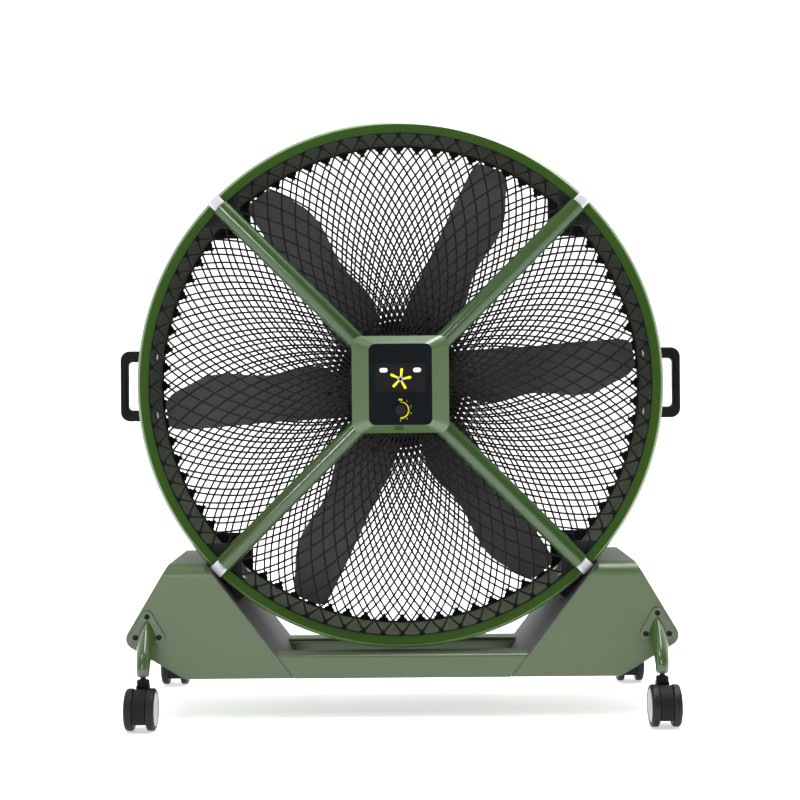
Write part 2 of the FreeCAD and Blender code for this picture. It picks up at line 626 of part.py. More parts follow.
# saddle blocks between the shell and the cradle panels
saddle = slab(460, PANEL, 46, 132, -78, 78).cut(cyl_y(SHELL_OUT + 0.02, -200, 200))
saddle = max(saddle.Solids, key=lambda q: q.Volume)
for y in (-50, 50):
    for s in (72, 108):
        ang = math.degrees(math.atan2(cradle(PANEL, s).z - AXIS_Z, cradle(PANEL, s).x))
        dist = (cradle(PANEL, s) - V(0, 0, AXIS_Z)).Length
        b, hole, p, u = radial_bolt(ang, y, 7.0, 4.5, 4.0, SHELL_IN - 0.1, dist - SHELL_IN + 14)
        saddle = saddle.cut(hole)
        panel = panel.cut(hole)
        shell = shell.cut(hole).cut(mirror_x(hole))
        q = p + u * (dist - SHELL_IN + 0.1 + PANEL_T / u.dot(N) + 2.2)
        nutb = along(q, u, 7.5, 6.0).cut(along(q - u, u, 4.0, 8))
        bolts += [b, mirror_x(b), nutb, mirror_x(nutb)]

# crossbar end bolts through the panels
for bar, ys, zb in (("f", (-128, -102), 97.0), ("r", (102, 128), 94.0)):
    for y in ys:
        s = (AXIS_Z - CRADLE_N[1] * PANEL - zb) / CRADLE_N[0]
        p = cradle(PANEL - 4.05, s, y)
        b = along(p - N * 4.0, N, 6.5, 4.0).fuse(along(p, N, 4.0, 18)).removeSplitter()
        hole = along(p - N * 2, N, 4.05, 12)
        q = cradle(CRADLE + 0.05, s, y)
        nutb = along(q, N, 7.0, 6.0).cut(along(q - N, N, 4.0, 8))
        panel = panel.cut(hole)
        if bar == "f":
            bar_f = bar_f.cut(hole).cut(mirror_x(hole))
        else:
            bar_r = bar_r.cut(hole).cut(mirror_x(hole))
        bolts += [b, mirror_x(b), nutb, mirror_x(nutb)]

save("drum_shell", shell)
save("crossbar_front", bar_f)
save("crossbar_rear", bar_r)
save("saddle_blocks", [saddle, mirror_x(saddle)])
save("cradle_panels", [panel, mirror_x(panel)])
save("frame_bolts", bolts)

# ---------------------------------------------------------------- legs
FLANGE_T = 4.5
FLANGE_Y = -BASE_Y - FLANGE_T - 0.02


def leaf(c, ny, nz, half, up, down, point):
    # closed section about c, pointed at the top; its plane contains X and the direction (0, ny, nz)
    pts = []
    for i in range(24):
        f = 2 * math.pi * i / 24
        x, v = math.cos(f), math.sin(f)
        if v > 0:
            x = math.copysign(abs(x) ** point, x)
            v = abs(v) ** point
        x *= half
        v *= up if v > 0 else down
        pts.append(V(c.x + x, c.y + ny * v, c.z + nz * v))
    k = Part.BSplineCurve()
    k.interpolate(Points=pts + pts[:1])
    return Part.Wire(k.toShape())


def leg():
    # sections down the leg: y, z, tilt of the section, half width, up, down, how pointed the top is
    rows = ((FLANGE_Y + 3.6, 151.0, 0, 16.6, 35.0, 22.0, 1.42),
            (FLANGE_Y + 0.4, 150.5, 0, 16.6, 34.6, 21.8, 1.41),
            (-155.0, 148.0, 5, 16.5, 32.0, 20.8, 1.36),
            (-165.0, 142.5, 16, 16.2, 26.5, 18.6, 1.25),
            (-175.0, 135.5, 28, 15.3, 20.5, 16.2, 1.14),
            (-184.0, 128.0, 42, 14.2, 16.4, 14.0, 1.05),
            (-191.5, 120.0, 60, 13.2, 14.0, 12.8, 1.0),
            (-196.2, 111.5, 78, 12.6, 12.8, 12.4, 1.0),
            (-LEG_Y, 103.5, 90, 12.2, 12.2, 12.2, 1.0),
            (-LEG_Y, 97.0, 90, 11.7, 11.7, 11.7, 1.0),
            (-LEG_Y, LEG_END, 90, 10.4, 10.4, 10.4, 1.0))
    sec = []
    for y, z, tilt, half, up, down, point in rows:
        g = math.radians(tilt)
        sec.append(leaf(V(LEG_X, y, z), -math.sin(g), math.cos(g), half, up, down, point))
    s = Part.makeLoft(sec, True, False).Solids[0]
    if s.Volume < 0:
        s.reverse()
    s = s.common(box(LEG_X - 60, LEG_X + 60, -300, FLANGE_Y + FLANGE_T, 50, 260))
    # flange: outline round the three bolts
    rr = 10.0
    pads = [(LEG_X + x, z) for x, z in LEG_BOLTS]
    cx = sum(p[0] for p in pads) / 3
    cz = sum(p[1] for p in pads) / 3
    fl = None
    for x, z in pads:
        c = cyl_y(rr, FLANGE_Y, FLANGE_Y + FLANGE_T, x, z)
        fl = c if fl is None else fl.fuse(c)
    for i in range(3):
        a, b = pads[i], pads[(i + 1) % 3]
        d = math.hypot(b[0] - a[0], b[1] - a[1])
        m = (-(b[1] - a[1]) / d * rr, (b[0] - a[0]) / d * rr)
        if (a[0] + m[0] - cx) * m[0] + (a[1] + m[1] - cz) * m[1] < 0:
            m = (-m[0], -m[1])
        pts = [(a[0] + m[0], a[1] + m[1]), (b[0] + m[0], b[1] + m[1]), b, (cx, cz), a]
        vs = [V(x, FLANGE_Y, z) for x, z in pts]
        fl = fl.fuse(Part.Face(Part.makePolygon(vs + vs[:1])).extrude(V(0, FLANGE_T, 0)))
    fl = fl.removeSplitter()
    s = s.fuse(fl).removeSplitter()
    s = s.cut(cyl_z(5.05, LEG_END - 5, LEG_END + 24, LEG_X, -LEG_Y))
    return max(s.Solids, key=lambda q: q.Volume)


leg_fr = leg()
leg_bolts = []
hole_set = []
for x, z in LEG_BOLTS:
    hole = cyl_y(3.05, FLANGE_Y - 2, -BASE_Y + 8, LEG_X + x, z)
    hole_set.append(hole)
    leg_fr = leg_fr.cut(hole).cut(cyl_y(5.3, FLANGE_Y - 30, FLANGE_Y, LEG_X + x, z))
    head = cyl_y(5.0, FLANGE_Y - 3.0, FLANGE_Y - 0.02, LEG_X + x, z)
    e = [k for k in head.Edges if abs(k.BoundBox.YMax - (FLANGE_Y - 3.0)) < 0.01]
    head = head.makeFillet(1.6, e)
    head = head.cut(hexagon(1.9, FLANGE_Y - 4, FLANGE_Y - 1.6, LEG_X + x, z))
    leg_bolts.append(head.fuse(cyl_y(3.0, FLANGE_Y - 0.5, -BASE_Y + 7, LEG_X + x, z)).removeSplitter())
for h in hole_set:
    box_r = box_r.cut(h).cut(mirror_y(h))
save("base_box_right", box_r)
save("base_box_left", mirror_x(box_r))
leg_fr = max(leg_fr.Solids, key=lambda q: q.Volume)
save("legs", [leg_fr, mirror_x(leg_fr), mirror_y(leg_fr), mirror_y(mirror_x(leg_fr))])
allb = []
for b in leg_bolts:
    for s in (b, mirror_x(b)):
        allb += [s, mirror_y(s)]
save("leg_bolts", allb)

# ---------------------------------------------------------------- casters
HOOD_X = 11.3
WHEEL_IN = 11.7
WHEEL_OUT = 27.0
AXLE_PIN = 4.0


def caster_hood(x, y, out):
    ay = y + out * TRAIL
    s = cyl_x(35.5, x - HOOD_X, x + HOOD_X, ay, WHEEL_R)
    s = s.common(box(x - 20, x + 20, ay - 60, ay + 60, 15, 90))
    s = s.fuse(box(x - HOOD_X, x + HOOD_X, y - 10, y + 10, 48, 76))
    s = s.fuse(cyl_z(11.5, 75.5, 84.5, x, y)).fuse(Part.makeCone(11.5, 10.0, 1.5, V(x, y, 84.5), V(0, 0, 1)))
    s = s.removeSplitter()
    s = s.cut(cyl_x(AXLE_PIN, x - 20, x + 20, ay, WHEEL_R))
    s = s.cut(cyl_z(5.0, 52, 90, x, y))
    return max(s.Solids, key=lambda q: q.Volume)


def caster_wheel(x, ay, side):
    # profile in (axial, radius), turned about the axle
    w0, w1 = WHEEL_IN, WHEEL_OUT
    bore = AXLE_PIN + 0.06
    cap = 30.2
    pts = [(w0, bore), (w0, 33.0), (w0 + 1.4, 36.1), (w0 + 4.4, WHEEL_R), (w1 - 4.5, WHEEL_R), (w1 - 1.2, 35.6), (w1, 32.6), (w1, cap), (w1 - 2.3, cap), (w1 - 2.3, bore)]
    vs = [V(x + side * a, ay, WHEEL_R + r) for a, r in pts]
    e = []
    for i in range(len(vs)):
        e.append(Part.makeLine(vs[i], vs[(i + 1) % len(vs)]))
    f = Part.Face(Part.Wire(e))
    tyre = f.revolve(V(x, ay, WHEEL_R), V(1, 0, 0), 360)
    tyre = tyre.Solids[0] if tyre.Solids else Part.Solid(tyre)
    disc = cyl_x(30.15, x + w1 - 2.25, x + w1 - 0.05, ay, WHEEL_R) if side > 0 else cyl_x(30.15, x - w1 + 0.05, x - w1 + 2.25, ay, WHEEL_R)
    return [tyre, disc]


for name, sx, sy in (("fl", -1, -1), ("fr", 1, -1), ("rl", -1, 1), ("rr", 1, 1)):
    x, y = sx * LEG_X, sy * LEG_Y
    ay = y + sy * TRAIL
    save("caster_%s_hood" % name, caster_hood(x, y, sy))
    save("caster_%s_pins" % name, [cyl_z(4.98, 52.1, LEG_END + 22, x, y), cyl_x(AXLE_PIN - 0.01, x - 24.6, x + 24.6, ay, WHEEL_R)])
    save("caster_%s_wheel_left" % name, caster_wheel(x, ay, -1))
    save("caster_%s_wheel_right" % name, caster_wheel(x, ay, 1))
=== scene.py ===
import math

import bpy
from mathutils import Matrix, Vector


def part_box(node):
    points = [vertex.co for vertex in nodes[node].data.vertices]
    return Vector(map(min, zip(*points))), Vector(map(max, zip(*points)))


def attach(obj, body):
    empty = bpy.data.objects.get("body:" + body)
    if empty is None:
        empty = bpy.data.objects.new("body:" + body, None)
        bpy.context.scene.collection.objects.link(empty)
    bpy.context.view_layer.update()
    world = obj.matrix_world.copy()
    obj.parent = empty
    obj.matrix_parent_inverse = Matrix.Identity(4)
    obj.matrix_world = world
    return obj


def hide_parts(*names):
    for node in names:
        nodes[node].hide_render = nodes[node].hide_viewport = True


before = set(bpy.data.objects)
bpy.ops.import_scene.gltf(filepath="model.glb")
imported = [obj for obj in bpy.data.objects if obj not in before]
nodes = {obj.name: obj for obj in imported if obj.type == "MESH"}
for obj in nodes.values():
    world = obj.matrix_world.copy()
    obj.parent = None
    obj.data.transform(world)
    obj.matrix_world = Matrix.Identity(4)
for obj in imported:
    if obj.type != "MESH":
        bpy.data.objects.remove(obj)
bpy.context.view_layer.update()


ZC = 0.615


# ------------------------------------------------------------------ materials
def srgb(r, g, b):
    out = []
    for v in (r, g, b):
        v /= 255.0
        out.append(v / 12.92 if v <= 0.04045 else ((v + 0.055) / 1.055) ** 2.4)
    return out


def material(name, base, alt, rough=0.45, rough_vary=0.08, grain=900.0, bump=0.05, cloud=6.0,
             metallic=0.0, coat=0.0, coat_rough=0.2, spec=0.5, edge=None, edge_at=(0.52, 0.60),
             streak=None, grime=0.0, emit=0.0, top_rough=None, painted_light_by_radius=None, painted_light_by_height=None):
    """Colour clouds, fine grain bump, roughness variation, lighter worn edges and dust, all from nodes; optional
    painted shade and light by radius and by height, and an emission glow.
    """
    m = bpy.data.materials.new(name)
    m.use_nodes = True
    nt = m.node_tree
    n, l = nt.nodes, nt.links
    n.clear()
    out = n.new("ShaderNodeOutputMaterial")
    p = n.new("ShaderNodeBsdfPrincipled")
    l.new(p.outputs[0], out.inputs[0])
    p.inputs["Metallic"].default_value = metallic
    p.inputs["Coat Weight"].default_value = coat
    p.inputs["Coat Roughness"].default_value = coat_rough
    p.inputs["Specular IOR Level"].default_value = spec
    tc = n.new("ShaderNodeTexCoord")
    big = n.new("ShaderNodeTexNoise")
    big.inputs["Scale"].default_value = cloud
    big.inputs["Detail"].default_value = 5.0
    big.inputs["Roughness"].default_value = 0.6
    l.new(tc.outputs["Object"], big.inputs["Vector"])
    ramp = n.new("ShaderNodeValToRGB")
    ramp.color_ramp.elements[0].position = 0.34
    ramp.color_ramp.elements[1].position = 0.68
    ramp.color_ramp.elements[0].color = (*base, 1)
    ramp.color_ramp.elements[1].color = (*alt, 1)
    l.new(big.outputs["Fac"], ramp.inputs["Fac"])
    colour = ramp.outputs["Color"]
    fine = n.new("ShaderNodeTexNoise")
    fine.inputs["Scale"].default_value = grain
    fine.inputs["Detail"].default_value = 3.0
    if streak:
        mp = n.new("ShaderNodeMapping")
        mp.inputs["Scale"].default_value = streak
        l.new(tc.outputs["Object"], mp.inputs["Vector"])
        l.new(mp.outputs["Vector"], fine.inputs["Vector"])
    else:
        l.new(tc.outputs["Object"], fine.inputs["Vector"])
    speck = n.new("ShaderNodeMix")
    speck.data_type = "RGBA"
    speck.blend_type = "MULTIPLY"
    speck.inputs["Factor"].default_value = 0.16
    l.new(colour, speck.inputs[6])
    l.new(fine.outputs["Fac"], speck.inputs[7])
    bright = n.new("ShaderNodeMix")
    bright.data_type = "RGBA"
    bright.blend_type = "MIX"
    bright.inputs["Factor"].default_value = 0.35
    l.new(speck.outputs[2], bright.inputs[6])
    l.new(colour, bright.inputs[7])
    colour = bright.outputs[2]
    if edge is not None:
        g = n.new("ShaderNodeNewGeometry")
        er = n.new("ShaderNodeValToRGB")
        er.color_ramp.elements[0].position = edge_at[0]
        er.color_ramp.elements[1].position = edge_at[1]
        er.color_ramp.elements[0].color = (0, 0, 0, 1)
        er.color_ramp.elements[1].color = (1, 1, 1, 1)
        l.new(g.outputs["Pointiness"], er.inputs["Fac"])
        wear = n.new("ShaderNodeTexNoise")
        wear.inputs["Scale"].default_value = 60.0
        wear.inputs["Detail"].default_value = 4.0
        l.new(tc.outputs["Object"], wear.inputs["Vector"])
        mul = n.new("ShaderNodeMath")
        mul.operation = "MULTIPLY"
        l.new(er.outputs["Color"], mul.inputs[0])
        l.new(wear.outputs["Fac"], mul.inputs[1])
        mix = n.new("ShaderNodeMix")
        mix.data_type = "RGBA"
        l.new(mul.outputs[0], mix.inputs["Factor"])
        l.new(colour, mix.inputs[6])
        mix.inputs[7].default_value = (*edge, 1)
        colour = mix.outputs[2]
    if grime > 0:
        g2 = n.new("ShaderNodeNewGeometry")
        sep = n.new("ShaderNodeSeparateXYZ")
        l.new(g2.outputs["Normal"], sep.inputs[0])
        dust = n.new("ShaderNodeTexNoise")
        dust.inputs["Scale"].default_value = 35.0
        dust.inputs["Detail"].default_value = 6.0
        l.new(tc.outputs["Object"], dust.inputs["Vector"])
        up = n.new("ShaderNodeMapRange")
        up.inputs["From Min"].default_value = 0.2
        up.inputs["From Max"].default_value = 1.0
        up.inputs["To Max"].default_value = grime
        l.new(sep.outputs["Z"], up.inputs["Value"])
        mm = n.new("ShaderNodeMath")
        mm.operation = "MULTIPLY"
        l.new(up.outputs[0], mm.inputs[0])
        l.new(dust.outputs["Fac"], mm.inputs[1])
        mixd = n.new("ShaderNodeMix")
        mixd.data_type = "RGBA"
        l.new(mm.outputs[0], mixd.inputs["Factor"])
        l.new(colour, mixd.inputs[6])
        mixd.inputs[7].default_value = (0.42, 0.41, 0.38, 1)
        colour = mixd.outputs[2]
    # painted shade and light: the colour is multiplied by a factor that grows with distance from the drum axis
    if painted_light_by_radius is not None:
        c4 = n.new("ShaderNodeVectorMath")
        c4.operation = "MULTIPLY_ADD"
        c4.inputs[1].default_value = (1, 0, 1)
        c4.inputs[2].default_value = (0, 0, -ZC)
        l.new(tc.outputs["Object"], c4.inputs[0])
        d4 = n.new("ShaderNodeVectorMath")
        d4.operation = "LENGTH"
        l.new(c4.outputs["Vector"], d4.inputs[0])
        m4 = n.new("ShaderNodeMapRange")
        for key, val in zip(("From Min", "From Max", "To Min", "To Max"), painted_light_by_radius):
            m4.inputs[key].default_value = val
        l.new(d4.outputs["Value"], m4.inputs["Value"])
        x4 = n.new("ShaderNodeMix")
        x4.data_type = "RGBA"
        x4.blend_type = "MULTIPLY"
        x4.inputs["Factor"].default_value = 1.0
        l.new(colour, x4.inputs[6])
        l.new(m4.outputs[0], x4.inputs[7])
        colour = x4.outputs[2]
    # painted light and shade: the colour is multiplied by a factor that falls with object height, lighter low down and
    # darker high up
    if painted_light_by_height is not None:
        s5 = n.new("ShaderNodeSeparateXYZ")
        l.new(tc.outputs["Object"], s5.inputs[0])
        m5 = n.new("ShaderNodeMapRange")
        for key, val in zip(("From Min", "From Max", "To Min", "To Max"), painted_light_by_height):
            m5.inputs[key].default_value = val
        l.new(s5.outputs["Z"], m5.inputs["Value"])
        x5 = n.new("ShaderNodeMix")
        x5.data_type = "RGBA"
        x5.blend_type = "MULTIPLY"
        x5.inputs["Factor"].default_value = 1.0
        l.new(colour, x5.inputs[6])
        l.new(m5.outputs[0], x5.inputs[7])
        colour = x5.outputs[2]
    l.new(colour, p.inputs["Base Color"])
    rr = n.new("ShaderNodeMapRange")
    rr.inputs["To Min"].default_value = max(0.02, rough - rough_vary)
    rr.inputs["To Max"].default_value = min(1.0, rough + rough_vary)
    l.new(big.outputs["Fac"], rr.inputs["Value"])
    rough_out = rr.outputs[0]
    if top_rough is not None:
        g3 = n.new("ShaderNodeNewGeometry")
        s3 = n.new("ShaderNodeSeparateXYZ")
        l.new(g3.outputs["Normal"], s3.inputs[0])
        u3 = n.new("ShaderNodeMapRange")
        u3.inputs["From Min"].default_value = 0.80
        u3.inputs["From Max"].default_value = 0.99
        l.new(s3.outputs["Z"], u3.inputs["Value"])
        x3 = n.new("ShaderNodeMix")
        x3.data_type = "FLOAT"
        l.new(u3.outputs[0], x3.inputs[0])
        l.new(rough_out, x3.inputs[2])
        x3.inputs[3].default_value = top_rough
        rough_out = x3.outputs[0]
    l.new(rough_out, p.inputs["Roughness"])
    if bump > 0:
        b = n.new("ShaderNodeBump")
        b.inputs["Strength"].default_value = bump
        b.inputs["Distance"].default_value = 0.0006
        l.new(fine.outputs["Fac"], b.inputs["Height"])
        l.new(b.outputs["Normal"], p.inputs["Normal"])
    # emission: a real glow for the indicator lenses, painted light where it is set on the yellow print
    if emit > 0:
        l.new(colour, p.inputs["Emission Color"])
        p.inputs["Emission Strength"].default_value = emit
    return m


GREEN = material("green_powder_coat", srgb(58, 80, 38), srgb(61, 83, 41), rough=0.40, rough_vary=0.008, grain=650,
                 bump=0.02, cloud=2.0, coat=0.22, coat_rough=0.30, spec=0.72, top_rough=0.95)
GREEN_TUBE = material("green_tube_coat", srgb(40, 68, 20), srgb(43, 72, 22), rough=0.34, rough_vary=0.01, grain=650,
                      bump=0.01, cloud=2.0, coat=0.9, coat_rough=0.13, spec=0.35)
GREEN_LEG = material("green_leg_coat", srgb(50, 74, 31), srgb(53, 77, 33), rough=0.34, rough_vary=0.01, grain=650,
                     bump=0.015, cloud=4.0, coat=0.7, coat_rough=0.14, spec=0.55)
RIM_FACE = material("green_rim_face", srgb(44, 70, 25), srgb(47, 73, 27), rough=0.75, rough_vary=0.02, grain=650,
                    bump=0.03, cloud=2.0, spec=0.05)
# lighter and glossier copy of the rim green for the outer band of the front rim: the lighter colour is a painted
# highlight
RIM_EDGE_PAINTED_HIGHLIGHT = material("green_rim_edge_painted_highlight", srgb(78, 108, 56), srgb(81, 111, 59), rough=0.30, rough_vary=0.01, grain=650,
                    bump=0.02, cloud=2.0, coat=0.5, coat_rough=0.25, spec=0.9)
HOUSING = material("green_housing_coat", srgb(52, 82, 28), srgb(54, 84, 30), rough=0.36, rough_vary=0.01, grain=650,
                   bump=0.006, cloud=2.0, coat=0.8, coat_rough=0.38, spec=0.8)
BLACK_STEEL = material("black_satin_steel", srgb(14, 13, 16), srgb(18, 17, 20), rough=0.7, rough_vary=0.06, grain=800,
                       bump=0.08, cloud=5.0, spec=0.08, edge=srgb(60, 60, 62), edge_at=(0.54, 0.68))
CRADLE = material("cradle_grey_black", srgb(44, 41, 47), srgb(50, 47, 53), rough=0.55, rough_vary=0.05, grain=800,
                  bump=0.06, cloud=4.0, spec=0.4, edge=srgb(74, 72, 76), edge_at=(0.54, 0.68))
WIRE = material("black_guard_wire", srgb(13, 13, 14), srgb(18, 18, 19), rough=0.55, rough_vary=0.06, grain=1200,
                bump=0.05, cloud=20.0, spec=0.2)
# drum inside: lighter towards the bottom is painted light, darker towards the top is painted shade
INSIDE = material("drum_inside", srgb(62, 68, 55), srgb(68, 74, 61), rough=0.95, rough_vary=0.03, grain=500,
                  bump=0.06, cloud=4.0, spec=0.02, painted_light_by_height=(0.14, 0.60, 2.4, 0.85))
CLIP = material("clip_grey", srgb(172, 170, 176), srgb(182, 180, 186), rough=0.5, rough_vary=0.06, grain=900,
                bump=0.05, cloud=30.0, edge=srgb(226, 226, 228), edge_at=(0.53, 0.62))
PLASTIC = material("black_grained_plastic", srgb(13, 13, 13), srgb(17, 17, 17), rough=0.6, rough_vary=0.06, grain=1400,
                   bump=0.14, cloud=12.0, spec=0.13, edge=srgb(36, 36, 38), edge_at=(0.55, 0.70))
KNOB = material("knob_black", srgb(24, 23, 26), srgb(29, 28, 31), rough=0.6, rough_vary=0.05, grain=1600,
                bump=0.06, cloud=60.0, spec=0.15)
FASCIA = material("fascia_black", srgb(13, 17, 20), srgb(16, 20, 23), rough=0.6, rough_vary=0.03, grain=1600,
                  bump=0.03, cloud=10.0, spec=0.05)
WINDOW = material("display_smoked", srgb(22, 20, 21), srgb(25, 23, 24), rough=0.5, rough_vary=0.03, grain=1500,
                  bump=0.01, cloud=18.0, spec=0.08)
# dark green for the pocket pane: painted shade
PANE = material("pocket_painted_shade_pane", srgb(42, 64, 30), srgb(47, 69, 34), rough=0.4, rough_vary=0.04, grain=1500,
                bump=0.01, cloud=60.0, spec=0.3)
LENS = material("indicator_white", srgb(240, 241, 244), srgb(250, 250, 252), rough=0.25, rough_vary=0.05, grain=600,
                bump=0.01, cloud=60.0, emit=0.35)
# yellow print and dial scale: the yellow is real print, the emission glow on it is painted light
YELLOW = material("print_yellow_painted_glow", srgb(228, 226, 28), srgb(220, 216, 24), rough=0.55, rough_vary=0.05, grain=1500,
                  bump=0.03, cloud=80.0, spec=0.15, emit=0.40)
DIAL_YELLOW = material("dial_yellow_painted_glow", srgb(190, 182, 30), srgb(180, 172, 26), rough=0.6, rough_vary=0.05, grain=1500,
                       bump=0.03, cloud=80.0, spec=0.15, emit=0.30)
PRINT_GREY = material("print_grey", srgb(168, 160, 170), srgb(182, 176, 184), rough=0.5, rough_vary=0.05, grain=1500,
                      bump=0.03, cloud=80.0)
# blades: darker near the hub is painted shade, lighter towards the tips is painted light
BLADE = material("blade_charcoal", srgb(60, 60, 61), srgb(71, 71, 72), rough=0.6, rough_vary=0.06, grain=700,
                 bump=0.06, cloud=7.0, spec=0.4, edge=srgb(98, 98, 100), edge_at=(0.55, 0.72),
                 painted_light_by_radius=(0.10, 0.44, 0.55, 1.35))
STEEL = material("zinc_steel", srgb(150, 150, 152), srgb(172, 172, 172), rough=0.32, rough_vary=0.1, grain=260,
                 bump=0.05, cloud=30.0, metallic=1.0, streak=(1.0, 1.0, 8.0))
BLACK_BOLT = material("black_oxide_bolt", srgb(18, 18, 19), srgb(24, 24, 25), rough=0.45, rough_vary=0.08, grain=900,
                      bump=0.05, cloud=60.0, spec=0.12)
IRON = material("lamination_iron", srgb(72, 66, 60), srgb(92, 84, 74), rough=0.55, rough_vary=0.1, grain=120,
                bump=0.2, cloud=20.0, metallic=0.6, streak=(1.0, 12.0, 1.0))
ALLOY = material("cast_alloy_dark", srgb(24, 24, 25), srgb(30, 30, 31), rough=0.65, rough_vary=0.1, grain=420,
                 bump=0.2, cloud=16.0, metallic=0.3, edge=srgb(90, 90, 92), edge_at=(0.54, 0.66))
BOARD = material("board_green", srgb(24, 74, 44), srgb(30, 86, 50), rough=0.4, rough_vary=0.1, grain=300,
                 bump=0.08, cloud=80.0)
RUBBER = material("saddle_rubber", srgb(20, 20, 20), srgb(26, 26, 26), rough=0.8, rough_vary=0.08, grain=1100,
                  bump=0.2, cloud=25.0, spec=0.25)
TYRE = material("wheel_nylon_black", srgb(17, 17, 18), srgb(22, 22, 23), rough=0.5, rough_vary=0.08, grain=900,
                bump=0.10, cloud=25.0, spec=0.25, edge=srgb(48, 48, 50), edge_at=(0.55, 0.70))
CAP = material("hub_cap_grey", srgb(172, 172, 177), srgb(186, 186, 191), rough=0.38, rough_vary=0.06, grain=900,
               bump=0.06, cloud=40.0, edge=srgb(222, 222, 224), edge_at=(0.53, 0.62))

ASSIGN = {
    "front_rim": GREEN_TUBE, "rear_rim": GREEN_TUBE, "front_spokes": GREEN_TUBE, "rear_spokes": GREEN_TUBE,
    "control_housing": HOUSING, "rear_hub_cover": GREEN, "base_box_left": GREEN, "base_box_right": GREEN,
    "crossbar_front": GREEN, "crossbar_rear": GREEN, "legs": GREEN_LEG, "drum_shell": GREEN,
    "corner_plates": BLACK_STEEL, "cradle_panels": CRADLE, "front_mount_plate": BLACK_STEEL,
    "rear_mount_plate": BLACK_STEEL, "rim_clips": CLIP, "handle_left": PLASTIC, "handle_right": PLASTIC,
    "control_fascia": FASCIA, "display_window": WINDOW, "indicator_lenses": LENS, "speed_knob": KNOB,
    "knob_shaft": STEEL, "speed_potentiometer": PLASTIC, "drive_board": BOARD, "cable_gland": PLASTIC,
    "motor_axle": STEEL, "motor_bearings": STEEL, "motor_stator": IRON, "rotor_magnets": IRON,
    "rotor_can": ALLOY, "rotor_cover": ALLOY, "blade_spider": ALLOY, "fan_blades": BLADE, "blade_bolts": BLACK_BOLT,
    "frame_bolts": STEEL, "leg_bolts": BLACK_BOLT, "saddle_blocks": RUBBER,
}
for c in ("fl", "fr", "rl", "rr"):
    ASSIGN["caster_%s_hood" % c] = PLASTIC
    ASSIGN["caster_%s_pins" % c] = BLACK_BOLT
for name, o in nodes.items():
    m = ASSIGN.get(name)
    if m is not None:
        o.data.materials.clear()
        o.data.materials.append(m)


# ------------------------------------------------------------------ mesh helpers
def make(name, verts, faces, mats, index=None, smooth=True):
    me = bpy.data.meshes.new(name)
    me.from_pydata(verts, [], faces)
    me.validate()
    for m in mats if isinstance(mats, (list, tuple)) else [mats]:
        me.materials.append(m)
    if index is not None:
        me.polygons.foreach_set("material_index", index)
    me.polygons.foreach_set("use_smooth", [smooth] * len(me.polygons))
    me.update()
    o = bpy.data.objects.new(name, me)
    bpy.context.scene.collection.objects.link(o)
    return o


def sharpen(o, degrees=32.0):
    """Hard edges stay hard on a smooth-shaded mesh."""
    o.data.set_sharp_from_angle(angle=math.radians(degrees))
    return o


def lathe(profile, axis, centre, seg=96, closed=False):
    """Rings of a profile (along, radius) about an axis through centre. Returns verts, faces."""
    a = Vector(axis).normalized()
    u = a.orthogonal().normalized()
    w = a.cross(u)
    c = Vector(centre)
    verts, faces = [], []
    k = len(profile)
    for i in range(seg):
        t = 2 * math.pi * i / seg
        d = u * math.cos(t) + w * math.sin(t)
        for s, r in profile:
            verts.append(tuple(c + a * s + d * r))
    last = k if closed else k - 1
    for i in range(seg):
        j = (i + 1) % seg
        for q in range(last):
            p = (q + 1) % k
            faces.append((i * k + q, j * k + q, j * k + p, i * k + p))
    return verts, faces


def torus(R, r, y, seg=240, sides=24):
    prof = [(y + r * math.cos(2 * math.pi * i / sides), R + r * math.sin(2 * math.pi * i / sides)) for i in range(sides)]
    return lathe(prof, (0, 1, 0), (0, 0, ZC), seg, True)


def joined(*parts):
    verts, faces = [], []
    for v, f in parts:
        k = len(verts)
        verts += v
        faces += [tuple(i + k for i in q) for q in f]
    return verts, faces


# ------------------------------------------------------------------ guards of round wire
WIRES = 80
ARC, ARC_C, TURN = 0.4250, 0.3920, -0.06
STEP = 2 * math.pi / WIRES


def swing(r):
    """Angle between a wire's arc centre and its point at radius r."""
    return math.acos((r * r - ARC * ARC + ARC_C * ARC_C) / (2 * ARC_C * r))


def wire(k, side, y, r0, r1=0.4695, rad=0.0018, sides=8, steps=30):
    pts = []
    for i in range(steps + 1):
        r = r0 + (r1 - r0) * i / steps
        f = STEP * (k + side * TURN) + side * swing(r)
        pts.append(Vector((r * math.cos(f), y, ZC + r * math.sin(f))))
    verts, faces = [], []
    for i, p in enumerate(pts):
        t = (pts[min(i + 1, steps)] - pts[max(i - 1, 0)]).normalized()
        nrm = Vector((-t.z, 0, t.x))
        for s in range(sides):
            a = 2 * math.pi * s / sides
            verts.append(tuple(p + nrm * (rad * math.cos(a)) + Vector((0, rad * math.sin(a), 0))))
    for i in range(steps):
        for s in range(sides):
            q = (s + 1) % sides
            faces.append((i * sides + s, i * sides + q, (i + 1) * sides + q, (i + 1) * sides + s))
    faces.append(tuple(range(sides - 1, -1, -1)))
    faces.append(tuple(steps * sides + s for s in range(sides)))
    return verts, faces


# outermost crossing of the two layers
CROSS = 26
near, far = 0.44, 0.4695
for _ in range(60):
    mid = (near + far) / 2
    if 2 * swing(mid) + 2 * TURN * STEP > CROSS * STEP:
        near = mid
    else:
        far = mid
CROSS_R = (near + far) / 2


